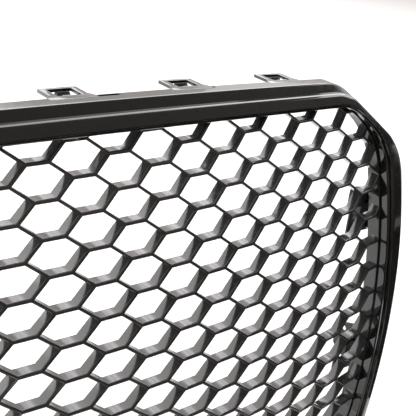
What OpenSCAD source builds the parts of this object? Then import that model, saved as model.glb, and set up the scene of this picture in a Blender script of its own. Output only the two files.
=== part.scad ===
// Front grille: a gloss black surround, a trim band clipped on it, and a honeycomb insert behind.
// X runs across the car, +Y points rearwards into the car and +Z is up. The front looks along -Y.
// The origin is the middle of the line of the four lower lug holes.

/* [Honeycomb] */
// Distance from one column of cells to the next
column_pitch = 38; // [37:0.5:39]
// Distance from one row of cells to the next
row_pitch = 25; // [24.5:0.5:25.5]
// Length of a cell's flat top and bottom edge
cell_flat = 20.2; // [19:0.1:21]
// Thickness of the walls between the cells
rib_t = 2.8; // [2.4:0.1:3.2]
// Depth of the walls between the cells, front to back
rib_depth = 11.3; // [8:0.1:12]
// Depth of the rim around the cells
rim_depth = 16; // [15.5:0.5:17]

/* [Face] */
// How far the face leans back at the top row, in degrees
face_lean = 35; // [32:0.5:37]
// Radius of the face from top to bottom
face_radius_v = 400; // [390:5:420]
// Radius of the face from side to side
face_radius_h = 3180; // [3000:20:3400]

/* [Opening] */
// Height of the opening's top edge over the first row of cells
opening_top = 16.5; // [15:0.5:18]
// Depth of the opening's bottom edge under the first row of cells
opening_drop = 374; // [370:1:378]
// Half width at the shoulders, where the opening is widest
shoulder_w = 415; // [410:1:420]
// Half width at the feet, above the lower corners
foot_w = 352; // [347:1:357]
// Half width of the straight part of the top edge
top_w = 374; // [370:1:378]
// Half width of the straight part of the bottom edge
bottom_w = 300; // [295:1:305]
// Radius of the opening's corners
corner_r = 50; // [42:1:54]

/* [Surround] */
// Width of the surround along its top
band_top = 22; // [21:0.5:24]
// Width of the surround at the shoulders
band_side = 28; // [27:0.5:30]
// Width of the surround along its bottom
band_bottom = 24; // [23:0.5:26]
// How far the trim band stands in front of the cells
trim_proud = 15.3; // [14.5:0.1:16]
// Depth of the flange behind the cells' front
flange_depth = 10; // [9:0.5:11]

/* [Fixings] */
// Distance between the lower lug holes
lug_pitch = 140; // [136:1:144]
// Radius of the lower lug holes and the bracket holes
mount_hole_r = 3.25; // [3:0.05:3.5]
// Distance between the two holes of a side bracket
bracket_hole_pitch = 24; // [22:1:26]
// Reach of the top tabs behind the flange
tab_reach = 26; // [24:0.5:28]

/* [Hidden] */
row0_z = 394.5;             // height of the first row of cells over the origin
datum_y = 72;               // depth of the face's centre, at the first row of cells
face_cubic = 4.4e-7;        // flattens the face towards its foot
face_sides = 1.2e-10;       // sweeps the outer ends further back
face_twist = 3.9e-7;        // sweeps the lower ends further back than the upper ones
crown_r = 7850;             // bow of the top and bottom edges
arc_steps = 5;
shoulder_drop = 21;         // from the first row down to the opening's shoulders, and to its feet
foot_drop = 318;
outer_shoulder_drop = 28;   // the same two drops on the surround's outer edge
outer_foot_drop = 330;
outer_top_in = 10;          // the outer edge's top is this much narrower at each end
foot_side = 17;             // width of the surround beside the feet, and beside the bottom edge's ends
bottom_side = 12;
columns = 11;               // columns of cells on each side of the middle one
rows = 16;
tab_x = [50, 175, 297];     // tabs on the right half
slot_x = [81, 187, 299];    // middles of the locating slots beside them
slot_w = 27;
slot_d = 4;
slot_back = 1.2;            // strip of flange behind a slot
tab_w = 37;
tab_t = 3;
window_w = 23;
window_d = 18.5;
window_gap = 3.5;           // strip of tab in front of the window
tab_lift = 0.3;             // the tabs' top faces stand this far over the flange
arm_w = 12;
arm_t = 1.6;
arm_len = 13.5;
arm_drop = 5;               // the arms' hinge lines lie this far under the tabs' top face
clip_t = 0.8;
lug_w = 22;
lug_t = 3;
lug_edge = 8;               // from a lug's hole to its free end
hook_x = [140, 262];        // sprung hooks on the right half of the lower flange
hook_len = 15;
hook_w = 14;
hook_t = 1.8;
right_screws = [3, 8, 14, 20, 23, 28, 36, 42];  // stations round the right half of the outline
screw_r = 1.25;
head_r = 3.2;
head_h = 2.2;
right_studs = [2, 10, 17, 24, 33, 40];
stud_r = 1.5;
skin_in = 5.4;              // bosses start this far in front of the face, inside the surround's skin
boss_r = 3.2;
stud_boss_r = 4.6;
bracket_boss_r = 4;
ear_w = 12;
ear_t = 2.5;
ear_end = 3.4;              // from a screw to the end of its ear
bracket_drop = [110, 250];  // from the first row of cells down to each bracket's middle
bracket_h = 46;
bracket_t = 2.5;
bracket_reach = 34;
bracket_screw_pitch = 28;
mid_z = row0_z + (opening_top - opening_drop) / 2;
gloss_black = "#17171a";
satin_black = "#2b2b2d";
steel = "#9a9ca0";
fine = 48;

// ---------- the face ----------

// Depth of the cells' front at a place on the grille
function face_y(x, z) =
  let (h = z - row0_z)
  datum_y + tan(face_lean) * h + h * h / (2 * face_radius_v) + face_cubic * h * h * h
  + x * x / (2 * face_radius_h) + face_sides * x * x * x * x - face_twist * x * x * h;

// ---------- the outlines ----------

function unit(v) = v / norm(v);

// Points of a round corner at b, between the edges from a and to c
function round_corner(a, b, c, r) =
  let (
    u = unit(a - b),
    v = unit(c - b),
    half = acos(u * v) / 2,
    centre = b + unit(u + v) * r / sin(half),
    from = b + u * r / tan(half) - centre,
    to = b + v * r / tan(half) - centre,
    start = atan2(from[1], from[0]),
    turn = atan2(to[1], to[0]) - start,
    sweep = turn > 180 ? turn - 360 : turn < -180 ? turn + 360 : turn
  )
  [for (k = [0:arc_steps]) centre + r * [cos(start + sweep * k / arc_steps), sin(start + sweep * k / arc_steps)]];

function between(p, q, n) = [for (k = [1:n - 1]) p + (q - p) * k / n];

// The top and bottom edges bow outwards at the middle of the car
function crowned(p) =
  [p[0], p[1] - p[0] * p[0] / (2 * crown_r) * (p[1] - mid_z) / (opening_top + row0_z - mid_z)];

// Right half of an outline, from the top centre clockwise to the bottom centre
function half_outline(v, r) =
  let (
    a = round_corner(v[0], v[1], v[2], r),
    b = round_corner(v[1], v[2], v[3], r),
    c = round_corner(v[2], v[3], v[4], r),
    d = round_corner(v[3], v[4], v[5], r)
  )
  [for (p = concat(
    [v[0]], between(v[0], a[0], 8), a, between(a[arc_steps], b[0], 2), b, between(b[arc_steps], c[0], 6), c,
    between(c[arc_steps], d[0], 2), d, between(d[arc_steps], v[5], 7), [v[5]]
  )) crowned(p)];

function whole(half) =
  concat(half, [for (i = [len(half) - 2:-1:1]) [-half[i][0], half[i][1]]]);

inner_ring = whole(half_outline([
  [0, row0_z + opening_top], [top_w, row0_z + opening_top],
  [shoulder_w, row0_z - shoulder_drop], [foot_w, row0_z - foot_drop],
  [bottom_w, row0_z - opening_drop], [0, row0_z - opening_drop]
], corner_r));

outer_ring = whole(half_outline([
  [0, row0_z + opening_top + band_top], [top_w - outer_top_in, row0_z + opening_top + band_top],
  [shoulder_w + band_side, row0_z - outer_shoulder_drop], [foot_w + foot_side, row0_z - outer_foot_drop],
  [bottom_w + bottom_side, row0_z - opening_drop - band_bottom], [0, row0_z - opening_drop - band_bottom]
], corner_r - 8));

stations = len(inner_ring);

// A place on the surround: 0 on the opening's edge, 1 on the outer edge
function place(i, u) = inner_ring[i] + u * (outer_ring[i] - inner_ring[i]);
function outline(u) = [for (i = [0:stations - 1]) place(i, u)];
function outward(i) = unit(outer_ring[i] - inner_ring[i]);

// ---------- shapes ----------

// Sweeps a closed profile of [place across the surround, depth from the face] all the way round.
// The profile can widen from its first point outwards, by a factor for each station.
module sweep(profile, widths = [for (i = [0:stations - 1]) 1]) {
  m = len(profile);
  first = profile[0][0];
  points = [for (i = [0:stations - 1]) for (q = profile)
    let (p = place(i, first + (q[0] - first) * widths[i])) [p[0], face_y(p[0], p[1]) + q[1], p[1]]];
  faces = [for (i = [0:stations - 1]) for (k = [0:m - 1])
    let (a = i * m + k, b = i * m + (k + 1) % m,
         c = ((i + 1) % stations) * m + k, d = ((i + 1) % stations) * m + (k + 1) % m)
    each [[a, b, d], [a, d, c]]];
  polyhedron(points = points, faces = faces, convexity = 10);
}

// A sheet that follows the face, between two depths from it
module face_slab(front, back) {
  nx = 14;
  nz = 8;
  half_w = 430;
  low = row0_z - opening_drop - 8;
  high = row0_z + opening_top + 8;
  n = (nx + 1) * (nz + 1);
  grid = [for (j = [0:nz]) for (i = [0:nx]) [-half_w + 2 * half_w * i / nx, low + (high - low) * j / nz]];
  points = concat(
    [for (p = grid) [p[0], face_y(p[0], p[1]) + front, p[1]]],
    [for (p = grid) [p[0], face_y(p[0], p[1]) + back, p[1]]]
  );
  front_faces = [for (j = [0:nz - 1]) for (i = [0:nx - 1])
    let (a = j * (nx + 1) + i, b = a + 1, c = b + nx + 1, d = a + nx + 1) each [[a, c, b], [a, d, c]]];
  rim = concat(
    [for (i = [0:nx - 1]) i], [for (j = [0:nz - 1]) j * (nx + 1) + nx],
    [for (i = [nx:-1:1]) nz * (nx + 1) + i], [for (j = [nz:-1:1]) j * (nx + 1)]
  );
  edge_faces = [for (k = [0:len(rim) - 1])
    let (a = rim[k], b = rim[(k + 1) % len(rim)]) each [[a, b, b + n], [a, b + n, a + n]]];
  back_faces = [for (f = front_faces) [f[0] + n, f[2] + n, f[1] + n]];
  polyhedron(points = points, faces = concat(front_faces, edge_faces, back_faces), convexity = 10);
}

// Everything inside an outline, right through the grille
module through(u) {
  translate([0, 300, 0]) rotate([90, 0, 0]) linear_extrude(600) polygon(outline(u));
}

// A cylinder along Y from one depth to another
module rod(x, z, r, from, to) {
  translate([x, to, z]) rotate([90, 0, 0]) cylinder(r = r, h = to - from, $fn = fine);
}

// A right half and its mirror image
module both_sides() {
  children();
  mirror([1, 0, 0]) children();
}

// ---------- the honeycomb ----------

function cell_x(i) = i * column_pitch;
function cell_z(i, k) = row0_z - (k + 0.5 + (abs(i) % 2) * 0.5) * row_pitch;

// A cell's opening, half a wall smaller than the cell all round
half_flat = cell_flat / 2;
half_row = row_pitch / 2;
slant = [half_row, column_pitch - cell_flat] / norm([half_row, column_pitch - cell_flat]);
slant_reach = slant[0] * (column_pitch - half_flat) - rib_t / 2;
hole_h = half_row - rib_t / 2;
hole_flat = (slant_reach - slant[1] * hole_h) / slant[0];
hole_w = slant_reach / slant[0];
cell_points = [
  [hole_flat, hole_h], [-hole_flat, hole_h], [-hole_w, 0], [-hole_flat, -hole_h], [hole_flat, -hole_h], [hole_w, 0]
];

// Is a point inside a convex outline that runs clockwise?
function inside(p, ring) =
  min([for (i = [0:len(ring) - 1])
    let (a = ring[i], b = ring[(i + 1) % len(ring)]) (p[0] - a[0]) * (b[1] - a[1]) - (p[1] - a[1]) * (b[0] - a[0])]) > 0;

rim_outer = -0.02;
rim_inner = -0.1;
rim_ring = outline(rim_inner);
cells = [for (i = [-columns:columns]) for (k = [-1:rows]) [cell_x(i), cell_z(i, k)]];
function corners_inside(c) = len([for (q = cell_points) if (inside(c + q, rim_ring)) 1]);
whole_cells = [for (c = cells) if (corners_inside(c) == 6) c];
cut_cells = [for (c = cells) let (n = corners_inside(c)) if (n > 0 && n < 6) c];

module cell_hole(c) {
  translate([c[0], 300, c[1]]) rotate([90, 0, 0]) linear_extrude(600) polygon(cell_points);
}

// ---------- where the screws and studs go ----------

screw_u = 0.46;
stud_u = 0.36;
function on_both_sides(right) = concat(right, [for (i = right) stations - i]);
screw_at = on_both_sides(right_screws);
stud_at = on_both_sides(right_studs);
function rim_y(i) = let (p = place(i, 0)) face_y(p[0], p[1]);
ear_y = rim_depth - ear_t;

// Where a boss starts, so that its upper edge stays behind the leaning skin
function boss_front(x, z, r) = face_y(x, z + r) - skin_in;

ear_clear = 9;              // the opening's wall ends this far in front of the ears
wall_end = ear_y - ear_clear;

// ---------- the sub-parts ----------

frame_profile = [
  [0, wall_end], [0, -9.2], [0.03, -10.6], [0.07, -11.3], [0.1, -11.4], [0.125, -7.2], [0.95, -6.6], [0.99, -6.1],
  [1, -4.9], [1, flange_depth], [0.9, flange_depth], [0.9, -4], [0.11, -4.4], [0.11, wall_end]
];

trim_profile = [
  [0.135, -7.5], [0.135, -12.8], [0.16, -14.6], [0.21, -trim_proud], [0.56, 0.2 - trim_proud], [0.615, -14.4],
  [0.64, -12.9], [0.645, -7.5], [0.55, -7.5], [0.55, -12.7], [0.24, -12.9], [0.24, -7.5]
];

// The trim band is narrow along the top and bottom, and covers the surround at its sides
trim_widening = 0.47;
widens_from = 360;
widens_over = 40;
trim_widths = [for (p = inner_ring) 1 + trim_widening * max(0, min(1, (abs(p[0]) - widens_from) / widens_over))];

// Height of the flange's outer face above a place on the top edge
function flange_z(x) = crowned([x, row0_z + opening_top + band_top])[1];
function flange_y(x) = face_y(x, flange_z(x)) + flange_depth;

// Moves to a tab's own frame: its top face at the flange's rear edge
module at_tab(x) {
  translate([x, flange_y(x), flange_z(x) + tab_lift]) children();
}

module tab() {
  difference() {
    translate([0, 0, -tab_t]) linear_extrude(tab_t) polygon([
      [-tab_w / 2 - 4, -6], [tab_w / 2 + 4, -6], [tab_w / 2 + 4, 1], [tab_w / 2, 8],
      [tab_w / 2, tab_reach], [-tab_w / 2, tab_reach], [-tab_w / 2, 8], [-tab_w / 2 - 4, 1]
    ]);
    translate([-window_w / 2, window_gap, -tab_t - 1]) cube([window_w, window_d, tab_t + 2]);
  }
}

module lug(x) {
  front = face_y(x, -3);
  difference() {
    translate([x - lug_w / 2, front + 4, -lug_t / 2]) cube([lug_w, lug_edge - front - 4, lug_t]);
    translate([x, 0, -lug_t]) cylinder(r = mount_hole_r, h = 2 * lug_t, $fn = fine);
  }
}

// A fork on the lower flange that holds a sprung hook
module hook_seat(x) {
  front = face_y(x, -3);
  difference() {
    translate([x - hook_w / 2 - 4, front + 4, -lug_t / 2]) cube([hook_w + 8, 23, lug_t]);
    translate([x - hook_w / 2 - 1, front + flange_depth + 2, -lug_t]) cube([hook_w + 2, 20, 2 * lug_t]);
  }
}

// Across the surround's right side at one height
function side_x(z, u) =
  let (i = [for (j = [1:stations / 2 - 1]) if (place(j, u)[1] >= z && place(j + 1, u)[1] < z) j][0],
       a = place(i, u), b = place(i + 1, u))
  a[0] + (b[0] - a[0]) * (z - a[1]) / (b[1] - a[1]);

function bracket_z(n) = row0_z - bracket_drop[n];
function bracket_x(n) = side_x(bracket_z(n), 0.5);
function bracket_y(n) = face_y(bracket_x(n) + 6, bracket_z(n) + bracket_h / 2) + rim_depth + 3.5;

function bracket_screw_z(n) = [for (s = [-0.5, 0.5]) bracket_z(n) + s * bracket_screw_pitch];

module surround_frame() {
  color(gloss_black) difference() {
    union() {
      sweep(frame_profile);
      for (i = screw_at) {
        p = place(i, screw_u);
        rod(p[0], p[1], boss_r, boss_front(p[0], p[1], boss_r), rim_y(i) + ear_y - 0.3);
      }
      for (i = stud_at) {
        p = place(i, stud_u);
        rod(p[0], p[1], stud_boss_r, boss_front(p[0], p[1], stud_boss_r), face_y(p[0], p[1]));
      }
      both_sides() {
        for (x = tab_x) at_tab(x) tab();
        for (k = [0.5, 1.5]) lug(k * lug_pitch);
        for (x = hook_x) hook_seat(x);
        for (n = [0, 1]) for (z = bracket_screw_z(n))
          rod(bracket_x(n), z, bracket_boss_r, boss_front(bracket_x(n), z, bracket_boss_r), bracket_y(n) - 0.2);
      }
    }
    for (i = screw_at) {
      p = place(i, screw_u);
      rod(p[0], p[1], screw_r + 0.05, rim_y(i) + ear_y - 7, rim_y(i) + ear_y + 2);
    }
    for (i = stud_at) {
      p = place(i, stud_u);
      rod(p[0], p[1], stud_r + 0.2, face_y(p[0], p[1]) - 12, face_y(p[0], p[1]) + 2);
    }
    both_sides() {
      for (x = slot_x) translate([x - slot_w / 2, flange_y(x) - slot_back - slot_d, flange_z(x) - 5]) cube([slot_w, slot_d, 9]);
      for (n = [0, 1]) for (z = bracket_screw_z(n))
        rod(bracket_x(n), z, screw_r + 0.05, bracket_y(n) - 8, bracket_y(n) + 1);
    }
  }
}

module trim_band() {
  color(gloss_black) {
    sweep(trim_profile, trim_widths);
    for (i = stud_at) {
      p = place(i, stud_u);
      rod(p[0], p[1], stud_r, face_y(p[0], p[1]) - 13.7, face_y(p[0], p[1]) + 3);
    }
  }
}

// An ear on the insert's rim, with a hole for its screw
module ear(i) {
  from = place(i, (rim_outer + rim_inner) / 2);
  to = place(i, screw_u);
  d = outward(i);
  translate([from[0], rim_y(i) + ear_y, from[1]]) rotate([0, -atan2(d[1], d[0]), 0])
    translate([0, 0, -ear_w / 2]) cube([norm(to - from) + ear_end, ear_t, ear_w]);
}

module honeycomb_insert() {
  color(gloss_black) difference() {
    union() {
      intersection() {
        face_slab(0, rim_depth);
        through(rim_outer);
      }
      for (i = screw_at) ear(i);
    }
    intersection() {
      face_slab(rib_depth, rim_depth + 12);
      through(rim_inner);
    }
    for (c = whole_cells) cell_hole(c);
    for (c = cut_cells) intersection() {
      cell_hole(c);
      through(rim_inner);
    }
    for (i = screw_at) {
      p = place(i, screw_u);
      rod(p[0], p[1], screw_r + 0.5, rim_y(i) + ear_y - 1, rim_y(i) + rim_depth + 1);
    }
  }
}

// A steel angle in each tab's window that carries the sprung arm
module clip_spring() {
  translate([-arm_w / 2, window_gap + 0.1, -arm_drop + 0.6]) cube([arm_w, clip_t, arm_drop - 0.8]);
  translate([-arm_w / 2, -1.5, -tab_t - clip_t - 0.1]) cube([arm_w, window_gap + 1.6 + clip_t, clip_t]);
}

module top_clip_springs() {
  color(steel) both_sides() for (x = tab_x) at_tab(x) clip_spring();
}

hinge_back = window_gap + 2;

// A sprung arm with a barb, in a tab's own frame
module arm() {
  translate([-arm_w / 2, hinge_back, -arm_drop]) {
    rotate([90, 0, 90]) linear_extrude(arm_w) polygon([
      [0, -arm_t / 2], [arm_len, -arm_t / 2], [arm_len, 1.2], [arm_len - 1.5, arm_drop - 1.2],
      [arm_len - 5, arm_drop - 0.6], [4.5, arm_t / 2], [0, arm_t / 2]
    ]);
    rotate([0, 90, 0]) cylinder(r = 0.95, h = arm_w, $fn = fine);
  }
}

// Arms are numbered from the left end to the right one
module clip_arm(n) {
  x = n < 4 ? -tab_x[3 - n] : tab_x[n - 4];
  color(satin_black) at_tab(x) arm();
}

// A sprung hook for the lower flange, in a fork's own frame
module hook() {
  rotate([90, 0, 90]) linear_extrude(hook_w) polygon([
    [0, -hook_t / 2], [hook_len - 6, -hook_t / 2], [hook_len - 5, -3.4], [hook_len, -hook_t / 2],
    [hook_len, hook_t / 2], [0, hook_t / 2]
  ]);
  rotate([0, 90, 0]) cylinder(r = 1.2, h = hook_w, $fn = fine);
}

module lower_hook(n) {
  x = n < 3 ? -hook_x[2 - n] : hook_x[n - 3];
  color(gloss_black) translate([x - hook_w / 2, face_y(x, -3) + flange_depth + 3.5, 0]) hook();
}

// A pan head screw along Y, with the underside of its head at the origin
module screw(length) {
  difference() {
    union() {
      rotate([90, 0, 0]) cylinder(r = screw_r, h = length, $fn = fine);
      translate([0, head_h, 0]) rotate([90, 0, 0]) cylinder(r1 = head_r - 0.7, r2 = head_r, h = head_h, $fn = fine);
    }
    for (a = [0, 90]) translate([0, head_h, 0]) rotate([0, a, 0]) cube([0.9, 2.6, 3.8], center = true);
  }
}

module insert_screws() {
  color(steel) for (i = screw_at) {
    p = place(i, screw_u);
    translate([p[0], rim_y(i) + rim_depth, p[1]]) screw(9);
  }
}

module trim_push_nuts() {
  color(steel) for (i = stud_at) {
    p = place(i, stud_u);
    difference() {
      rod(p[0], p[1], 4.2, face_y(p[0], p[1]) + 0.2, face_y(p[0], p[1]) + 1);
      rod(p[0], p[1], stud_r + 0.05, face_y(p[0], p[1]) - 1, face_y(p[0], p[1]) + 2);
      for (a = [0, 60, 120]) translate([p[0], face_y(p[0], p[1]) + 0.6, p[1]])
        rotate([0, a, 0]) cube([0.7, 3, 5.6], center = true);
    }
  }
}

// A bracket's base lies against two bosses, and its leg reaches back to the body
module side_bracket(n) {
  leg_x = 6.5;
  half = bracket_h / 2;
  color(satin_black) translate([bracket_x(n), bracket_y(n), bracket_z(n)]) difference() {
    union() {
      translate([-26, 0, -half]) cube([leg_x + 26 + bracket_t, bracket_t, bracket_h]);
      translate([leg_x, 0, 0]) rotate([90, 0, 90]) linear_extrude(bracket_t) polygon([
        [0, -half], [12, -half], [bracket_reach - 6, 6 - half], [bracket_reach, 12 - half],
        [bracket_reach, half - 12], [bracket_reach - 6, half - 6], [12, half], [0, half]
      ]);
      for (z = [-half, half - bracket_t])
        translate([leg_x - 9, 1, z]) linear_extrude(bracket_t) polygon([[0, 0], [10, 0], [10, 11]]);
    }
    translate([-20, -1, -7]) cube([9, bracket_t + 2, 14]);
    for (s = [-0.5, 0.5]) {
      translate([0, bracket_t + 1, s * bracket_screw_pitch])
        rotate([90, 0, 0]) cylinder(r = screw_r + 0.5, h = bracket_t + 2, $fn = fine);
      translate([leg_x - 1, bracket_reach - 11, s * bracket_hole_pitch])
        rotate([0, 90, 0]) cylinder(r = mount_hole_r, h = bracket_t + 2, $fn = fine);
    }
  }
}

module bracket_screws() {
  color(steel) both_sides() for (n = [0, 1]) for (z = bracket_screw_z(n))
    translate([bracket_x(n), bracket_y(n) + bracket_t, z]) screw(9);
}

surround_frame();
trim_band();
honeycomb_insert();
top_clip_springs();
clip_arm(1);  // clip_arm_1
clip_arm(2);  // clip_arm_2
clip_arm(3);  // clip_arm_3
clip_arm(4);  // clip_arm_4
clip_arm(5);  // clip_arm_5
clip_arm(6);  // clip_arm_6
lower_hook(1);  // lower_hook_1
lower_hook(2);  // lower_hook_2
lower_hook(3);  // lower_hook_3
lower_hook(4);  // lower_hook_4
insert_screws();
trim_push_nuts();
mirror([1, 0, 0]) side_bracket(0);  // upper_bracket_left
side_bracket(0);  // upper_bracket_right
mirror([1, 0, 0]) side_bracket(1);  // lower_bracket_left
side_bracket(1);  // lower_bracket_right
bracket_screws();
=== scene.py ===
"""Front grille: surround, trim band, honeycomb insert, clips, hooks, brackets and fasteners."""

import math

import bmesh
import bpy
from mathutils import Matrix, Vector


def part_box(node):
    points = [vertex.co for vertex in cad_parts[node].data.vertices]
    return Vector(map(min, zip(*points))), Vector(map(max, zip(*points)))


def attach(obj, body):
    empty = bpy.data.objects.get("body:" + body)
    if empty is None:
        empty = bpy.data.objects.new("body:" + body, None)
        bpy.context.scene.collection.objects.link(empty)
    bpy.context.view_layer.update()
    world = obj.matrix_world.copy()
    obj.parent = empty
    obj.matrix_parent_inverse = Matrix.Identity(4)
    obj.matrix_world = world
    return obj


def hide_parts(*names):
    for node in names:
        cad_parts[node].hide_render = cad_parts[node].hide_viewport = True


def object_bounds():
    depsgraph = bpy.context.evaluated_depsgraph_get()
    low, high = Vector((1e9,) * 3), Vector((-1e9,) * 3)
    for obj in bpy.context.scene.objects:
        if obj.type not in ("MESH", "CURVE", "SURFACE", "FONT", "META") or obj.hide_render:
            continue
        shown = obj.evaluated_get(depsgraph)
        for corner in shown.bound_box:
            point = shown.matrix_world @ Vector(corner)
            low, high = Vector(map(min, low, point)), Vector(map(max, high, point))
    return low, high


MM = 0.001

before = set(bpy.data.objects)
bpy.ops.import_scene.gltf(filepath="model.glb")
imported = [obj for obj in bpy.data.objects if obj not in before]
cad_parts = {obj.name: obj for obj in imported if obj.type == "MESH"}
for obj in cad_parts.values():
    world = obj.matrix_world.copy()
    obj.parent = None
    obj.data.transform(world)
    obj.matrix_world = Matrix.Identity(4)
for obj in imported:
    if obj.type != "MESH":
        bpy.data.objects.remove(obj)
cad_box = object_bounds()

# ---------- driving sizes, in millimetres, as in the CAD design ----------

COLUMN_PITCH = 38.0
ROW_PITCH = 25.0
CELL_FLAT = 20.2
RIB = 2.8
RIB_DEPTH = 11.3
RIM_DEPTH = 16.0
COLUMNS = 11
ROWS = 16
ROW0_Z = 394.5
DATUM_Y = 72.0
LEAN = math.radians(35)  # of the face at its datum row
FACE_RADIUS_V = 400.0
FACE_RADIUS_H = 3180.0
FACE_CUBIC = 4.4e-7
FACE_SIDES = 1.2e-10
FACE_TWIST = 3.9e-7
CROWN_R = 7850.0
OPENING_TOP = 16.5
OPENING_DROP = 374.0
TOP_EDGE = ROW0_Z + OPENING_TOP
BOTTOM_EDGE = ROW0_Z - OPENING_DROP
MID_Z = ROW0_Z + (OPENING_TOP - OPENING_DROP) / 2
BAND_TOP = 22.0
BAND_BOTTOM = 24.0
FLANGE_DEPTH = 10.0
INNER_R = 50.0
OUTER_R = 42.0
TAB_X = (50, 175, 297)
SLOT_X = (81, 187, 299)
SLOT_W = 27.0
SLOT_FRONT = 5.2
SLOT_BACK = 1.2
TAB_W = 37.0
TAB_T = 3.0
TAB_REACH = 26.0
TAB_LIFT = 0.12
TAB_FLARE = 5.0
TAB_NECK = 7.0
WINDOW_W = 23.0
WINDOW_D = 18.5
WINDOW_GAP = 3.5
ARM_W = 12.0
ARM_T = 1.6
ARM_LEN = 13.5
ARM_DROP = 5.0
CAD_TAB_LIFT = 0.3
LUG_X = (70, 210)
LUG_W = 22.0
LUG_T = 3.0
LUG_EDGE = 8.0
FLANGE_OVERLAP = 4.0  # how far behind the face's foot the lugs and forks start
HOLE_R = 3.25
HOOK_X = (140, 262)
HOOK_W = 14.0
FORK_GAP = 1.0
FORK_PRONG = 3.0
FORK_ROOT = 12.0
FORK_END = 27.0
EAR_T = 2.5
EAR_W = 12.0
EAR_BEYOND = 3.4
EAR_HOLE_R = 1.75
SCREW_BOSS_R = 3.2
STUD_BOSS_R = 4.6
STUD_R = 1.5
BRACKET_BOSS_R = 4.0
BRACKET_SCREW_X = 26.0
BRACKET_SCREW_Z = 14.0

# Places across the band, as shares of the way from the opening's edge to the outer edge
RIM_OUTER = -0.02
RIM_INNER = -0.10
SCREW_U = 0.46
STUD_U = 0.36


# ---------- the face and the outlines ----------

def face_y(x, z):
    """Depth of the cells' front at a place on the grille."""
    h = z - ROW0_Z
    bow = x * x / (2 * FACE_RADIUS_H) + FACE_SIDES * x ** 4 - FACE_TWIST * x * x * h
    return DATUM_Y + math.tan(LEAN) * h + h * h / (2 * FACE_RADIUS_V) + FACE_CUBIC * h ** 3 + bow


def round_corner(a, b, c, r, steps):
    """Points of a round corner at b, between the edges from a and to c."""
    u, v = (a - b).normalized(), (c - b).normalized()
    half = u.angle(v) / 2
    centre = b + (u + v).normalized() * (r / math.sin(half))
    start = b + u * (r / math.tan(half)) - centre
    turn = start.angle_signed(b + v * (r / math.tan(half)) - centre)
    return [centre + Matrix.Rotation(-turn * k / steps, 2) @ start for k in range(steps + 1)]


def crowned(p):
    """The top and bottom edges bow outwards at the middle of the car."""
    share = (p.y - MID_Z) / (OPENING_TOP + ROW0_Z - MID_Z)
    return Vector((p.x, p.y - p.x * p.x / (2 * CROWN_R) * share))


def outline_ring(corners, r, arc_steps, spans):
    """A whole outline from its right half's corners.
    Each arc has arc_steps steps, and spans says how many pieces each straight part has."""
    v = [Vector(c) for c in corners]
    arcs = [round_corner(v[i], v[i + 1], v[i + 2], r, arc_steps) for i in range(4)]
    chain = [[v[0]], *arcs, [v[5]]]
    half = []
    for part, following, n in zip(chain, chain[1:] + [None], spans + [0]):
        half += part
        if following:
            half += [part[-1].lerp(following[0], k / n) for k in range(1, n)]
    half = [crowned(p) for p in half]
    return half + [Vector((-p.x, p.y)) for p in half[-2:0:-1]]


INNER_CORNERS = (
    (0, TOP_EDGE), (374, TOP_EDGE), (415, ROW0_Z - 21),
    (352, ROW0_Z - 318), (300, BOTTOM_EDGE), (0, BOTTOM_EDGE),
)
OUTER_CORNERS = (
    (0, TOP_EDGE + BAND_TOP), (364, TOP_EDGE + BAND_TOP), (443, ROW0_Z - 28),
    (369, ROW0_Z - 330), (312, BOTTOM_EDGE - BAND_BOTTOM), (0, BOTTOM_EDGE - BAND_BOTTOM),
)


class Outline:
    """The opening's edge and the surround's outer edge, station by station."""

    def __init__(self, arc_steps, spans):
        self.inner = outline_ring(INNER_CORNERS, INNER_R, arc_steps, spans)
        self.outer = outline_ring(OUTER_CORNERS, OUTER_R, arc_steps, spans)
        self.stations = len(self.inner)

    def place(self, i, u):
        """The point at a station where u is 0 on the opening's edge and 1 on the outer edge."""
        return self.inner[i] + (self.outer[i] - self.inner[i]) * u

    def outward(self, i):
        return (self.outer[i] - self.inner[i]).normalized()


COARSE = Outline(5, [8, 2, 6, 2, 7])
FINE = Outline(14, [40, 4, 26, 6, 34])
RIGHT_SCREWS = (3, 8, 14, 20, 23, 28, 36, 42)
RIGHT_STUDS = (2, 10, 17, 24, 33, 40)


def on_both_sides(right):
    return [*right, *(COARSE.stations - i for i in right)]


def flange_z(x):
    return crowned(Vector((x, TOP_EDGE + BAND_TOP))).y


def flange_y(x):
    return face_y(x, flange_z(x)) + FLANGE_DEPTH


# ---------- mesh tools ----------

def finished(bm, name, sharp_degrees=32):
    """A mesh in metres from a bmesh in millimetres, smooth up to an angle."""
    bmesh.ops.remove_doubles(bm, verts=bm.verts, dist=1e-4)
    bmesh.ops.recalc_face_normals(bm, faces=bm.faces)
    bm.transform(Matrix.Scale(MM, 4))
    mesh = bpy.data.meshes.new(name)
    bm.to_mesh(mesh)
    bm.free()
    mesh.shade_smooth()
    mesh.set_sharp_from_angle(angle=math.radians(sharp_degrees))
    return mesh


def add_object(name, mesh, material):
    obj = bpy.data.objects.new(name, mesh)
    bpy.context.scene.collection.objects.link(obj)
    mesh.materials.clear()
    mesh.materials.append(material)
    return obj


def merge(bm, part, matrix=Matrix.Identity(4)):
    """Adds a bmesh part to bm, moved by a matrix, and frees the part."""
    part.transform(matrix)
    mesh = bpy.data.meshes.new("part")
    part.to_mesh(mesh)
    part.free()
    bm.from_mesh(mesh)
    bpy.data.meshes.remove(mesh)


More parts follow.
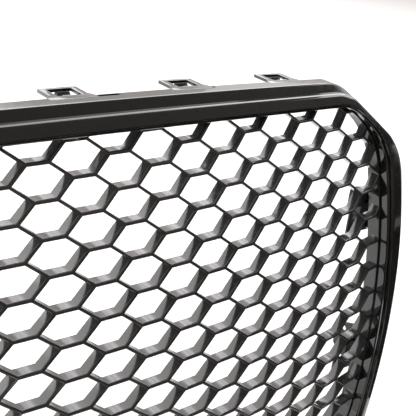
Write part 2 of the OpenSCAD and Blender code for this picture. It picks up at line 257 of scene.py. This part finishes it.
def rounded_profile(points, radius, steps=4, width=22.0):
    """Rounds the corners of a closed profile, whose points are (u, depth).
    The width turns u into millimetres. Each straight part gets a point near either end, which
    keeps its shading flat."""
    flat = [Vector((u * width, d)) for u, d in points]
    out = []
    for a, b, c in zip(flat[-1:] + flat[:-1], flat, flat[1:] + flat[:1]):
        u, v = (a - b).normalized(), (c - b).normalized()
        reach = min(radius / math.tan(u.angle(v) / 2), 0.42 * (a - b).length, 0.42 * (c - b).length)
        out.append(b + u * (reach + 0.05 * (a - b).length))
        for k in range(steps + 1):
            t = k / steps
            out.append((b + u * reach) * (1 - t) ** 2 + b * 2 * t * (1 - t) + (b + v * reach) * t ** 2)
        out.append(b + v * (reach + 0.05 * (c - b).length))
    return [(p.x / width, p.y) for p in out]


def sweep(profile, outline=FINE, side_profile=None, sides=None):
    """Sweeps a closed profile all the way round. It can turn into another one where sides is over 0."""
    bm = bmesh.new()
    rings = []
    for i in range(outline.stations):
        ring = []
        for k, (u, depth) in enumerate(profile):
            if side_profile:
                u += (side_profile[k][0] - u) * sides[i]
                depth += (side_profile[k][1] - depth) * sides[i]
            p = outline.place(i, u)
            ring.append(bm.verts.new((p.x, face_y(p.x, p.y) + depth, p.y)))
        rings.append(ring)
    for a, b in zip(rings, rings[1:] + rings[:1]):
        for k in range(len(profile)):
            m = (k + 1) % len(profile)
            bm.faces.new((a[k], a[m], b[m], b[k]))
    return bm


def round_outline(points, radius, steps=5):
    """Rounds a flat outline's corners."""
    pts = [Vector(p) for p in points]
    out = []
    for a, b, c in zip(pts[-1:] + pts[:-1], pts, pts[1:] + pts[:1]):
        u, v = (a - b).normalized(), (c - b).normalized()
        reach = min(radius / math.tan(u.angle(v) / 2), 0.45 * (a - b).length, 0.45 * (c - b).length)
        for k in range(steps + 1):
            t = k / steps
            out.append((b + u * reach) * (1 - t) ** 2 + b * 2 * t * (1 - t) + (b + v * reach) * t ** 2)
    return out


def circle(x, y, r, steps=32):
    angles = [2 * math.pi * k / steps for k in range(steps)]
    return [Vector((x + r * math.cos(a), y + r * math.sin(a))) for a in angles]


def plate(outlines, thickness, edge=0.3):
    """A flat plate with rounded edges, from z = -thickness to 0.
    The first outline is its edge, and the others are holes."""
    curve = bpy.data.curves.new("plate", "CURVE")
    curve.dimensions = "2D"
    curve.fill_mode = "BOTH"
    curve.extrude = thickness / 2 - edge
    curve.bevel_depth = edge
    curve.bevel_resolution = 2
    curve.offset = -edge
    for points in outlines:
        spline = curve.splines.new("POLY")
        spline.points.add(len(points) - 1)
        for target, p in zip(spline.points, points):
            target.co = (p[0], p[1], 0, 1)
        spline.use_cyclic_u = True
    obj = bpy.data.objects.new("plate", curve)
    bpy.context.scene.collection.objects.link(obj)
    bpy.context.view_layer.update()
    mesh = bpy.data.meshes.new_from_object(obj)
    bm = bmesh.new()
    bm.from_mesh(mesh)
    bpy.data.objects.remove(obj)
    bpy.data.curves.remove(curve)
    bpy.data.meshes.remove(mesh)
    bmesh.ops.remove_doubles(bm, verts=bm.verts, dist=1e-3)
    bm.transform(Matrix.Translation((0, 0, -thickness / 2)))
    return bm


def turned(profile, steps=32):
    """A solid turned round the Y axis, from a list of (radius, y)."""
    bm = bmesh.new()
    angles = [2 * math.pi * k / steps for k in range(steps)]
    rings = []
    for r, y in profile:
        if r == 0:
            rings.append([bm.verts.new((0, y, 0))] * steps)
        else:
            rings.append([bm.verts.new((r * math.cos(a), y, r * math.sin(a))) for a in angles])
    for a, b in zip(rings, rings[1:]):
        for k in range(steps):
            m = (k + 1) % steps
            bm.faces.new(list(dict.fromkeys((a[k], a[m], b[m], b[k]))))
    return bm


def boss(r, front, back, bevel=0.4):
    """A round boss along Y with a softened rear edge."""
    return turned([(0, front), (r, front), (r, back - bevel), (r - 0.3 * bevel, back - 0.3 * bevel),
                   (r - bevel, back), (0, back)])


def block(low, high):
    bm = bmesh.new()
    bmesh.ops.create_cube(bm, size=1)
    size = Vector(high) - Vector(low)
    bm.transform(Matrix.Translation((Vector(low) + Vector(high)) / 2) @ Matrix.Diagonal((*size, 1)))
    return bm


def cut(bm, cutters):
    """Cuts solid parts out of a closed mesh."""
    tool = bmesh.new()
    for cutter in cutters:
        merge(tool, cutter)
    objects = []
    for name, source in (("target", bm), ("tool", tool)):
        mesh = bpy.data.meshes.new(name)
        bmesh.ops.recalc_face_normals(source, faces=source.faces)
        source.to_mesh(mesh)
        source.free()
        objects.append(bpy.data.objects.new(name, mesh))
        bpy.context.scene.collection.objects.link(objects[-1])
    modifier = objects[0].modifiers.new("cut", "BOOLEAN")
    modifier.operation = "DIFFERENCE"
    modifier.solver = "EXACT"
    modifier.object = objects[1]
    evaluated = objects[0].evaluated_get(bpy.context.evaluated_depsgraph_get())
    mesh = bpy.data.meshes.new_from_object(evaluated)
    out = bmesh.new()
    out.from_mesh(mesh)
    for obj in objects:
        bpy.data.objects.remove(obj)
    return out


# ---------- materials ----------

def noise(nodes, links, coordinates, size_mm, detail=3.0, roughness=0.5):
    node = nodes.new("ShaderNodeTexNoise")
    node.inputs["Scale"].default_value = 1 / (size_mm * MM)
    node.inputs["Detail"].default_value = detail
    node.inputs["Roughness"].default_value = roughness
    links.new(coordinates, node.inputs["Vector"])
    return node.outputs["Fac"]


def spread(nodes, links, value, low, high, from_low=0.3, from_high=0.7):
    node = nodes.new("ShaderNodeMapRange")
    node.inputs["From Min"].default_value = from_low
    node.inputs["From Max"].default_value = from_high
    node.inputs["To Min"].default_value = low
    node.inputs["To Max"].default_value = high
    links.new(value, node.inputs["Value"])
    return node.outputs["Result"]


def bump(nodes, links, height, distance_mm, strength, normal=None):
    node = nodes.new("ShaderNodeBump")
    node.inputs["Strength"].default_value = strength
    node.inputs["Distance"].default_value = distance_mm * MM
    links.new(height, node.inputs["Height"])
    if normal:
        links.new(normal, node.inputs["Normal"])
    return node.outputs["Normal"]


def tinted(nodes, links, value, dark, light):
    """A colour that varies between two tones with a value."""
    ramp = nodes.new("ShaderNodeValToRGB")
    ramp.color_ramp.elements[0].position = 0.35
    ramp.color_ramp.elements[0].color = (*dark, 1)
    ramp.color_ramp.elements[1].position = 0.65
    ramp.color_ramp.elements[1].color = (*light, 1)
    links.new(value, ramp.inputs["Fac"])
    return ramp.outputs["Color"]


def surface(name):
    material = bpy.data.materials.new(name)
    material.use_nodes = True
    nodes, links = material.node_tree.nodes, material.node_tree.links
    coordinates = nodes.new("ShaderNodeTexCoord").outputs["Object"]
    return material, nodes, links, nodes["Principled BSDF"], coordinates


PEEL_MM = 0.9
HAZE_MM = 7.0


def gloss_black(name, dark, light, roughness, wave_mm, wave_height, peel_height, coat):
    """Moulded gloss plastic: flow waves, a faint orange peel and a haze of fine dust."""
    material, nodes, links, shader, at = surface(name)
    flow = noise(nodes, links, at, wave_mm, 2.0)
    peel = noise(nodes, links, at, PEEL_MM, 2.0)
    haze = noise(nodes, links, at, HAZE_MM, 5.0, 0.65)
    links.new(tinted(nodes, links, haze, dark, light), shader.inputs["Base Color"])
    links.new(spread(nodes, links, haze, roughness * 0.75, roughness * 1.6), shader.inputs["Roughness"])
    wavy = bump(nodes, links, flow, wave_height, 1.0)
    links.new(bump(nodes, links, peel, peel_height, 1.0, wavy), shader.inputs["Normal"])
    shader.inputs["IOR"].default_value = 1.5
    shader.inputs["Coat Weight"].default_value = coat
    shader.inputs["Coat Roughness"].default_value = 0.03
    return material


def satin_black(name):
    """Filled nylon with a fine spark-eroded grain."""
    material, nodes, links, shader, at = surface(name)
    grain = noise(nodes, links, at, 0.35, 4.0, 0.7)
    patches = noise(nodes, links, at, 9.0, 3.0)
    colour = tinted(nodes, links, patches, (0.020, 0.020, 0.021), (0.034, 0.034, 0.036))
    links.new(colour, shader.inputs["Base Color"])
    links.new(spread(nodes, links, grain, 0.34, 0.52), shader.inputs["Roughness"])
    links.new(bump(nodes, links, grain, 0.05, 0.7), shader.inputs["Normal"])
    shader.inputs["Specular IOR Level"].default_value = 0.3
    return material


def zinc_steel(name):
    """Zinc-plated spring steel with drawn streaks and slight blotches."""
    material, nodes, links, shader, at = surface(name)
    stretch = nodes.new("ShaderNodeMapping")
    stretch.inputs["Scale"].default_value = (0.15, 1.0, 1.0)
    links.new(at, stretch.inputs["Vector"])
    streaks = noise(nodes, links, stretch.outputs["Vector"], 0.25, 3.0)
    blotches = noise(nodes, links, at, 2.5, 4.0, 0.6)
    colour = tinted(nodes, links, blotches, (0.44, 0.45, 0.46), (0.62, 0.63, 0.64))
    links.new(colour, shader.inputs["Base Color"])
    links.new(spread(nodes, links, streaks, 0.2, 0.42), shader.inputs["Roughness"])
    links.new(bump(nodes, links, streaks, 0.02, 0.6), shader.inputs["Normal"])
    shader.inputs["Metallic"].default_value = 1.0
    return material


SURROUND_BLACK = gloss_black(
    "surround_black", dark=(0.008, 0.0078, 0.0076), light=(0.012, 0.0115, 0.011),
    roughness=0.07, wave_mm=30, wave_height=0.012, peel_height=0.0006, coat=0.15)
TRIM_BLACK = gloss_black(
    "trim_black", dark=(0.008, 0.0075, 0.0072), light=(0.0115, 0.011, 0.0105),
    roughness=0.06, wave_mm=38, wave_height=0.010, peel_height=0.0004, coat=0.25)
INSERT_BLACK = gloss_black(
    "insert_black", dark=(0.020, 0.020, 0.020), light=(0.029, 0.029, 0.029),
    roughness=0.13, wave_mm=11, wave_height=0.008, peel_height=0.0008, coat=0.1)
SATIN_BLACK = satin_black("satin_black")
STEEL = zinc_steel("zinc_steel")


# ---------- the surround ----------

EAR_Y = RIM_DEPTH - EAR_T
WALL_END = EAR_Y - 9

# A profile's points are (u, depth): u as in Outline.place, and the depth behind the face
FRAME_PROFILE = [
    (0, WALL_END), (0, -9.2), (0.03, -10.6), (0.07, -11.3), (0.1, -11.4), (0.125, -7.2),
    (0.965, -6.6), (0.994, -6.25), (1, -5.3), (1, FLANGE_DEPTH), (0.9, FLANGE_DEPTH), (0.9, -4),
    (0.11, -4.4), (0.11, WALL_END),
]
TRIM_PROFILE = [
    (0.135, -7.5), (0.135, -12.8), (0.16, -14.6), (0.21, -15.3), (0.5, -15.15), (0.53, -15.13),
    (0.56, -15.1), (0.615, -14.4), (0.64, -12.9), (0.645, -7.5), (0.55, -7.5), (0.55, -12.7),
    (0.24, -12.9), (0.24, -7.5),
]
# At the sides the trim band is wider, with a fine step before its outer edge
TRIM_SIDE_PROFILE = [
    (0.135, -7.5), (0.135, -12.8), (0.172, -14.6), (0.245, -15.3), (0.72, -15.15), (0.76, -14.9),
    (0.775, -14.3), (0.84, -13.9), (0.875, -12.6), (0.885, -7.5), (0.745, -7.5), (0.745, -12.7),
    (0.29, -12.9), (0.29, -7.5),
]
SIDE_FROM = 360
SIDE_OVER = 40
BOSS_START = 5.4


def at_side(p):
    """0 along the top and bottom, 1 along the sides."""
    t = max(0.0, min(1.0, (abs(p.x) - SIDE_FROM) / SIDE_OVER))
    return t * t * (3 - 2 * t)


def boss_front(x, z, r):
    """Where a boss starts, inside the outer skin."""
    return face_y(x, z + r) - BOSS_START


def at_tab(x):
    """A tab's own frame, turned to lie along the crowned flange."""
    turn = Matrix.Rotation(math.atan(x / CROWN_R), 4, "Y")
    return Matrix.Translation((x, flange_y(x), flange_z(x) + TAB_LIFT)) @ turn


def tab():
    half, root = TAB_W / 2, TAB_W / 2 + TAB_FLARE
    edge = round_outline([
        (-root, -6), (root, -6), (root - 1, 0.6), (half, TAB_NECK),
        (half, TAB_REACH), (-half, TAB_REACH), (-half, TAB_NECK), (1 - root, 0.6),
    ], 1.6)
    left, right = -WINDOW_W / 2, WINDOW_W / 2
    front, back = WINDOW_GAP, WINDOW_GAP + WINDOW_D
    window = round_outline([(left, front), (right, front), (right, back), (left, back)], 0.8)
    return plate([edge, window], TAB_T, 0.35)


def lug(bm, x):
    left, right = x - LUG_W / 2, x + LUG_W / 2
    front = face_y(x, -3) + FLANGE_OVERLAP
    edge = round_outline([(left, front), (right, front), (right, LUG_EDGE), (left, LUG_EDGE)], 3)
    merge(bm, plate([edge, circle(x, 0, HOLE_R)], LUG_T), Matrix.Translation((0, 0, LUG_T / 2)))


def hook_seat(bm, x):
    front = face_y(x, -3)
    inner = HOOK_W / 2 + FORK_GAP
    outer = inner + FORK_PRONG
    start, root, end = front + FLANGE_OVERLAP, front + FORK_ROOT, front + FORK_END
    edge = round_outline([
        (x - outer, start), (x + outer, start), (x + outer, end), (x + inner, end),
        (x + inner, root), (x - inner, root), (x - inner, end), (x - outer, end),
    ], 0.8)
    merge(bm, plate([edge], LUG_T), Matrix.Translation((0, 0, LUG_T / 2)))


def surround():
    bm = sweep(rounded_profile(FRAME_PROFILE, 0.7))
    slots = []
    for x in [*SLOT_X, *(-v for v in SLOT_X)]:
        y, z = flange_y(x), flange_z(x)
        low = (x - SLOT_W / 2, y - SLOT_FRONT, z - 5)
        high = (x + SLOT_W / 2, y - SLOT_BACK, z + 4)
        slots.append(block(low, high))
    bm = cut(bm, slots)
    for i in on_both_sides(RIGHT_SCREWS):
        p, rim = COARSE.place(i, SCREW_U), COARSE.place(i, 0)
        front = boss_front(p.x, p.y, SCREW_BOSS_R)
        end = face_y(rim.x, rim.y) + EAR_Y - 0.3
        merge(bm, boss(SCREW_BOSS_R, front, end), Matrix.Translation((p.x, 0, p.y)))
    for i in on_both_sides(RIGHT_STUDS):
        p = COARSE.place(i, STUD_U)
        front = boss_front(p.x, p.y, STUD_BOSS_R)
        merge(bm, boss(STUD_BOSS_R, front, face_y(p.x, p.y)), Matrix.Translation((p.x, 0, p.y)))
    for name in ("upper_bracket_right", "lower_bracket_right"):
        low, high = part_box(name)
        back = low.y / MM - 0.2
        z = (low.z + high.z) / 2 / MM
        x = low.x / MM + BRACKET_SCREW_X
        for screw_z in (z - BRACKET_SCREW_Z, z + BRACKET_SCREW_Z):
            front = boss_front(x, screw_z, BRACKET_BOSS_R)
            for side in (-1, 1):
                merge(bm, boss(BRACKET_BOSS_R, front, back), Matrix.Translation((side * x, 0, screw_z)))
    for x in [*TAB_X, *(-v for v in TAB_X)]:
        merge(bm, tab(), at_tab(x))
    for side in (-1, 1):
        for x in LUG_X:
            lug(bm, side * x)
        for x in HOOK_X:
            hook_seat(bm, side * x)
    obj = add_object("surround", finished(bm, "surround"), SURROUND_BLACK)
    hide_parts("surround_frame")
    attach(obj, "grille")


def trim():
    side_profile = rounded_profile(TRIM_SIDE_PROFILE, 0.7, width=28.0)
    sides = [at_side(p) for p in FINE.inner]
    bm = sweep(rounded_profile(TRIM_PROFILE, 0.8), FINE, side_profile, sides)
    for i in on_both_sides(RIGHT_STUDS):
        p = COARSE.place(i, STUD_U)
        y = face_y(p.x, p.y)
        merge(bm, boss(STUD_R, y - 13.7, y + 3, 0.3), Matrix.Translation((p.x, 0, p.y)))
    obj = add_object("trim", finished(bm, "trim"), TRIM_BLACK)
    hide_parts("trim_band")
    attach(obj, "grille")


# ---------- the honeycomb insert ----------

# Half a rib's section: (distance from the rib's middle line, depth behind the face)
RIB_SECTION = (
    (0, 0), (RIB * 0.12, 0.02), (RIB * 0.24, 0.09), (RIB * 0.35, 0.25), (RIB * 0.44, 0.54),
    (RIB * 0.495, 1.0), (RIB * 0.5, 1.35), (RIB * 0.499, 1.7),
    (RIB * 0.47, RIB_DEPTH - 0.8), (RIB * 0.468, RIB_DEPTH - 0.4),
    (RIB * 0.43, RIB_DEPTH - 0.12), (RIB * 0.35, RIB_DEPTH), (0, RIB_DEPTH),
)


def hexagon(wall):
    """A cell's corners, with its walls moved in by wall from the ribs' middle lines."""
    rise, run = ROW_PITCH / 2, COLUMN_PITCH - CELL_FLAT
    nx, nz = rise / math.hypot(rise, run), run / math.hypot(rise, run)
    reach = nx * (COLUMN_PITCH - CELL_FLAT / 2) - wall
    h = rise - wall
    flat, tip = (reach - nz * h) / nx, reach / nx
    return [(flat, h), (-flat, h), (-tip, 0), (-flat, -h), (flat, -h), (tip, 0)]


def cell_centres():
    for i in range(-COLUMNS, COLUMNS + 1):
        for k in range(-1, ROWS + 1):
            yield i * COLUMN_PITCH, ROW0_Z - (k + 0.5 + 0.5 * (i % 2)) * ROW_PITCH


def honeycomb_mesh():
    """All the ribs as one closed mesh: each cell brings its half of the ribs around it."""
    bm = bmesh.new()
    loops = [[*hexagon(wall)] for wall, _ in RIB_SECTION]
    for cx, cz in cell_centres():
        rings = []
        for loop, (_, depth) in zip(loops, RIB_SECTION):
            corners = [(cx + x, cz + z) for x, z in loop]
            rings.append([bm.verts.new((x, face_y(x, z) + depth, z)) for x, z in corners])
        for a, b in zip(rings, rings[1:]):
            for k in range(6):
                m = (k + 1) % 6
                bm.faces.new((a[k], a[m], b[m], b[k]))
    bmesh.ops.remove_doubles(bm, verts=bm.verts, dist=1e-3)
    return bm


def trim_to_rim(bm):
    """Cuts the ribs off inside the rim and closes their ends."""
    ring = [COARSE.place(i, (RIM_OUTER + RIM_INNER) / 2) for i in range(COARSE.stations)]
    for a, b in zip(ring, ring[1:] + ring[:1]):
        along = b - a
        result = bmesh.ops.bisect_plane(
            bm, geom=[*bm.verts, *bm.edges, *bm.faces], dist=1e-5, clear_outer=True,
            plane_co=(a.x, 0, a.y), plane_no=(-along.y, 0, along.x))
        cut_edges = [e for e in result["geom_cut"] if isinstance(e, bmesh.types.BMEdge)]
        open_edges = [e for e in cut_edges if e.is_boundary]
        if open_edges:
            bmesh.ops.edgenet_fill(bm, edges=open_edges)
    return bm


def ear(i):
    """An ear on the rim, with a round end about its screw hole, in the plane of the surround."""
    start, end = COARSE.place(i, (RIM_OUTER + RIM_INNER) / 2), COARSE.place(i, SCREW_U)
    rim = COARSE.place(i, 0)
    length = (end - start).length
    d = COARSE.outward(i)
    end, half = length + EAR_BEYOND, EAR_W / 2
    edge = round_outline([(0, -half), (end, -half), (end, half), (0, half)], 2.6)
    bm = plate([edge, circle(length, 0, EAR_HOLE_R, 20)], EAR_T, 0.25)
    turn = Matrix.Rotation(-math.atan2(d.y, d.x), 4, "Y") @ Matrix.Rotation(-math.pi / 2, 4, "X")
    y = face_y(rim.x, rim.y) + EAR_Y
    bm.transform(Matrix.Translation((start.x, y, start.y)) @ turn)
    return bm


def insert():
    bm = trim_to_rim(honeycomb_mesh())
    profile = rounded_profile([
        (RIM_INNER, 0.4), (RIM_OUTER, 0.4), (RIM_OUTER, RIM_DEPTH), (RIM_INNER, RIM_DEPTH)], 0.4, 3)
    merge(bm, sweep(profile))
    for i in on_both_sides(RIGHT_SCREWS):
        merge(bm, ear(i))
    obj = add_object("insert", finished(bm, "insert", 38), INSERT_BLACK)
    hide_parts("honeycomb_insert")
    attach(obj, "grille")


# ---------- small pieces, from their CAD solids with softened edges ----------

def softened(node, name, body, material, bevel_mm):
    """A CAD solid with bevelled edges, as the piece that replaces it."""
    bm = bmesh.new()
    bm.from_mesh(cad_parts[node].data)
    bmesh.ops.remove_doubles(bm, verts=bm.verts, dist=1e-6)
    bmesh.ops.dissolve_limit(bm, angle_limit=math.radians(1), verts=bm.verts, edges=bm.edges)
    sharp = [e for e in bm.edges if len(e.link_faces) == 2 and e.calc_face_angle() > math.radians(35)]
    bmesh.ops.bevel(
        bm, geom=sharp, offset=bevel_mm * MM, segments=2, affect="EDGES", clamp_overlap=True)
    bm.transform(Matrix.Scale(1 / MM, 4))
    obj = add_object(name, finished(bm, name, 40), material)
    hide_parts(node)
    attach(obj, body)


def ridged(a, b, ridges, height):
    """Points along a slope from a to b, notched into gripping ridges."""
    out = []
    down = Vector((b.y - a.y, a.x - b.x)).normalized()
    down *= height if down.y < 0 else -height
    for k in range(ridges):
        out += [a.lerp(b, (k + 0.1) / ridges), a.lerp(b, (k + 0.5) / ridges)]
        out.append(a.lerp(b, (k + 0.7) / ridges) + down)
    return out


def clip_arm(n):
    """A sprung clip arm, with gripping ridges over its barb."""
    x = -TAB_X[3 - n] if n < 4 else TAB_X[n - 4]
    heel = Vector((4.5, ARM_T / 2))
    peak = Vector((ARM_LEN - 5, ARM_DROP - 0.6))
    tip = Vector((ARM_LEN - 1.5, ARM_DROP - 1.2))
    edge = [
        Vector((0, -ARM_T / 2)), Vector((ARM_LEN, -ARM_T / 2)), Vector((ARM_LEN, 1.2)),
        *ridged(tip, peak, 3, 0.4), *ridged(peak, heel, 5, 0.4), heel, Vector((0, ARM_T / 2)),
    ]
    bm = plate([edge], ARM_W, 0.1)
    # Stands the plate up: its outline goes to Y and Z, and its thickness to X
    bm.transform(Matrix(((0, 0, 1, ARM_W / 2), (1, 0, 0, 0), (0, 1, 0, 0), (0, 0, 0, 1))))
    end = ARM_W / 2 - 0.05
    pin = turned([
        (0, -end), (0.8, -end), (0.95, 0.15 - end), (0.95, end - 0.15), (0.8, end), (0, end)], 24)
    merge(bm, pin, Matrix.Rotation(math.pi / 2, 4, "Z"))
    hinge = (x, flange_y(x) + WINDOW_GAP + 2, flange_z(x) + CAD_TAB_LIFT - ARM_DROP)
    bm.transform(Matrix.Translation(hinge))
    obj = add_object(f"arm_{n}", finished(bm, f"arm_{n}", 30), SATIN_BLACK)
    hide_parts(f"clip_arm_{n}")
    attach(obj, f"clip_arm_{n}")


def small_pieces():
    softened("top_clip_springs", "clip_springs", "grille", STEEL, 0.12)
    for n in range(1, 7):
        clip_arm(n)
    for n in range(1, 5):
        softened(f"lower_hook_{n}", f"hook_{n}", f"lower_hook_{n}", SURROUND_BLACK, 0.3)
    softened("insert_screws", "screws", "grille", STEEL, 0.12)
    softened("bracket_screws", "screws_at_brackets", "grille", STEEL, 0.12)
    softened("trim_push_nuts", "push_nuts", "grille", STEEL, 0.08)
    for level in ("upper", "lower"):
        for side in ("left", "right"):
            node = f"{level}_bracket_{side}"
            softened(node, f"{node}_piece", "grille", SATIN_BLACK, 0.5)


# ---------- the stage ----------

COOL = (0.97, 0.96, 1.0)
FLOOR_REACH = 30
# Where the black card lies, whose only work is a painted dark reflection in the right-hand fronts
CARD_LOW = (0.55, -4.0)
CARD_HIGH = (8.0, 0.12)
CARD_LIFT = 0.002


def stage_sheet(name, low, high, z, material):
    """A level sheet from low to high."""
    bm = bmesh.new()
    corners = ((low[0], low[1]), (high[0], low[1]), (high[0], high[1]), (low[0], high[1]))
    bm.faces.new([bm.verts.new((x, y, z)) for x, y in corners])
    mesh = bpy.data.meshes.new(name)
    bm.to_mesh(mesh)
    bm.free()
    sheet = add_object(name, mesh, material)
    return sheet


def matt_paper(name, dark, light, grain_mm, detail):
    """Matt paper with a faint grain, between two greys."""
    material, nodes, links, shader, at = surface(name)
    grain = noise(nodes, links, at, grain_mm, detail)
    links.new(tinted(nodes, links, grain, (dark,) * 3, (light,) * 3), shader.inputs["Base Color"])
    shader.inputs["Roughness"].default_value = 0.9
    shader.inputs["Specular IOR Level"].default_value = 0.1
    return material


def floor_and_card(z):
    """A pale floor, and a black card on it in front and to the right, which only gloss sees: a dark
    sheet that paints a dark reflection into the glossy fronts at the right.
    """
    paper = matt_paper("floor_paper", 0.86, 0.89, 3.0, 4.0)
    stage_sheet("floor", (-FLOOR_REACH, -FLOOR_REACH), (FLOOR_REACH, FLOOR_REACH), z, paper)
    black = matt_paper("dark_reflection_black", 0.004, 0.008, 2.0, 3.0)
    # Painted shade for reflections only: camera, shadows and diffuse light pass through this card
    card = stage_sheet("dark_reflection_card", CARD_LOW, CARD_HIGH, z + CARD_LIFT, black)
    card.visible_camera = card.visible_shadow = card.visible_diffuse = False


def studio_world(low, front, back):
    """A soft surround of light: dim low down in front, brighter higher up, and brightest behind."""
    world = bpy.data.worlds.new("studio")
    bpy.context.scene.world = world
    world.use_nodes = True
    nodes, links = world.node_tree.nodes, world.node_tree.links
    split = nodes.new("ShaderNodeSeparateXYZ")
    links.new(nodes.new("ShaderNodeTexCoord").outputs["Generated"], split.inputs["Vector"])
    total = nodes.new("ShaderNodeMath")
    height = spread(nodes, links, split.outputs["Z"], low, front, from_low=0.24, from_high=0.5)
    depth = spread(nodes, links, split.outputs["Y"], 0, back - front, from_low=0.0, from_high=0.6)
    links.new(height, total.inputs[0])
    links.new(depth, total.inputs[1])
    links.new(total.outputs["Value"], nodes["Background"].inputs["Strength"])
    nodes["Background"].inputs["Color"].default_value = (1, 0.94, 0.90, 1)


def softbox(name, position, target, width, height, radiance, colour=(1, 1, 1)):
    """A rectangular light whose face has the given radiance."""
    light = bpy.data.lights.new(name, "AREA")
    light.color = colour
    light.shape = "RECTANGLE"
    light.size, light.size_y = width, height
    light.energy = radiance * math.pi * width * height
    obj = bpy.data.objects.new(name, light)
    bpy.context.scene.collection.objects.link(obj)
    obj.location = position
    obj.rotation_euler = (Vector(target) - Vector(position)).to_track_quat("-Z", "Y").to_euler()
    obj.visible_camera = False


def lights():
    """Places are in metres. The last number of each softbox is its radiance."""
    studio_world(0.03, 0.3, 1.3)
    # The sloping cell walls mirror this one
    softbox("overhead_light", (0.4, 1.65, 2.4), (0.4, 1.65, 0), 3.6, 2.9, 2.2)
    # The top flange and the level cell walls mirror these
    softbox("backdrop_left", (1.875, 3.776, 2.62), (-0.625, 0.926, 2.62), 2.2, 1.7, 2.7, COOL)
    softbox("backdrop_right", (3.525, 2.324, 2.55), (1.025, -0.526, 2.55), 2.2, 1.86, 3.5, COOL)
    softbox("backdrop_low", (3.525, 2.324, 1.37), (1.025, -0.526, 1.37), 2.2, 0.5, 0.7, COOL)
    softbox("side_light", (2.78, -0.05, 1.42), (0.1, 0.0, 0.3), 1.17, 1.4, 4.0)
    softbox("key_light", (0.3, -2.5, 0.35), (0.2, 0.0, 0.3), 0.7, 0.5, 5.0)
    # The inner walls at the right mirror this one
    softbox("left_back_light", (-0.2, 0.56, 0.35), (0.41, 0.1, 0.25), 0.8, 0.8, 1.2)
    softbox("left_strip", (-1.1, -1.93, 0.68), (0.4, 0.0, 0.25), 0.35, 1.2, 6.0)
    softbox("right_strip", (1.75, -0.31, 0.4), (0.4, 0.0, 0.3), 0.12, 0.5, 1.5)


def camera():
    """From the front left and above, at the upper right part of the grille."""
    data = bpy.data.cameras.new("camera")
    data.sensor_width = 36
    data.lens = 78.84
    obj = bpy.data.objects.new("camera", data)
    bpy.context.scene.collection.objects.link(obj)
    yaw = Matrix.Rotation(math.radians(-41.06), 4, "Z")
    pitch = Matrix.Rotation(math.pi / 2 + math.radians(-22.66), 4, "X")
    roll = Matrix.Rotation(math.radians(7.63), 4, "Z")
    turn = yaw @ pitch @ roll
    obj.matrix_world = Matrix.Translation((-0.3281, -0.50915, 0.64987)) @ turn
    bpy.context.scene.camera = obj


surround()
trim()
insert()
small_pieces()

floor_and_card(cad_box[0][2])
lights()
camera()
bpy.context.scene.view_settings.view_transform = "Standard"
